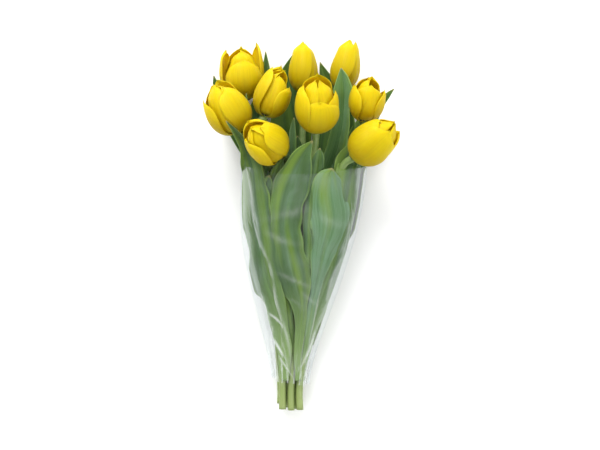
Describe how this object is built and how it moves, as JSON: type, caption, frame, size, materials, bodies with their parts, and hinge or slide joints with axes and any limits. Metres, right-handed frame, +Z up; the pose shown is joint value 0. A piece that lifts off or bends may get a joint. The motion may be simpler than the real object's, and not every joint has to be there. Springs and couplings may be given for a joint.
{
  "type": "bunch of tulips",
  "caption": "Cut yellow tulips with their leaves, gathered by the stems in a clear film sleeve that flares from a tight neck to an open mouth, lying on its back",
  "frame": {"origin": "middle of the bounding box at its underside, on the surface the bunch lies on", "axes": "+X across the bunch, +Y from the cut stem ends to the flowers, +Z up from the surface"},
  "size_m": [0.2112, 0.3848, 0.1126],
  "materials": {
    "petal": "satin",
    "inner_petal": "satin",
    "leaf": "satin, waxy bloom",
    "stem": "satin",
    "film": "clear gloss"
  },
  "bodies": {
    "root": {"sleeve": "film", "leaf_01": "leaf", "leaf_02": "leaf", "leaf_03": "leaf", "leaf_04": "leaf", "leaf_05": "leaf", "leaf_06": "leaf", "leaf_07": "leaf", "leaf_08": "leaf", "leaf_09": "leaf", "leaf_10": "leaf", "leaf_11": "leaf", "leaf_12": "leaf", "leaf_13": "leaf", "leaf_14": "leaf", "tulip_1_stem": "stem", "tulip_1_outer_petal_1": "petal", "tulip_1_outer_petal_2": "petal", "tulip_1_outer_petal_3": "petal", "tulip_1_inner_petals": "inner_petal", "tulip_2_stem": "stem", "tulip_2_outer_petal_1": "petal", "tulip_2_outer_petal_2": "petal", "tulip_2_outer_petal_3": "petal", "tulip_2_inner_petals": "inner_petal", "tulip_3_stem": "stem", "tulip_3_outer_petal_1": "petal", "tulip_3_outer_petal_2": "petal", "tulip_3_outer_petal_3": "petal", "tulip_3_inner_petals": "inner_petal", "tulip_4_stem": "stem", "tulip_4_outer_petal_1": "petal", "tulip_4_outer_petal_2": "petal", "tulip_4_outer_petal_3": "petal", "tulip_4_inner_petals": "inner_petal", "tulip_5_stem": "stem", "tulip_5_outer_petal_1": "petal", "tulip_5_outer_petal_2": "petal", "tulip_5_outer_petal_3": "petal", "tulip_5_inner_petals": "inner_petal", "tulip_6_stem": "stem", "tulip_6_outer_petal_1": "petal", "tulip_6_outer_petal_2": "petal", "tulip_6_outer_petal_3": "petal", "tulip_6_inner_petals": "inner_petal", "tulip_7_stem": "stem", "tulip_7_outer_petal_1": "petal", "tulip_7_outer_petal_2": "petal", "tulip_7_outer_petal_3": "petal", "tulip_7_inner_petals": "inner_petal", "tulip_8_stem": "stem", "tulip_8_outer_petal_1": "petal", "tulip_8_outer_petal_2": "petal", "tulip_8_outer_petal_3": "petal", "tulip_8_inner_petals": "inner_petal", "tulip_9_stem": "stem", "tulip_9_outer_petal_1": "petal", "tulip_9_outer_petal_2": "petal", "tulip_9_outer_petal_3": "petal", "tulip_9_inner_petals": "inner_petal"}
  },
  "joints": []
}
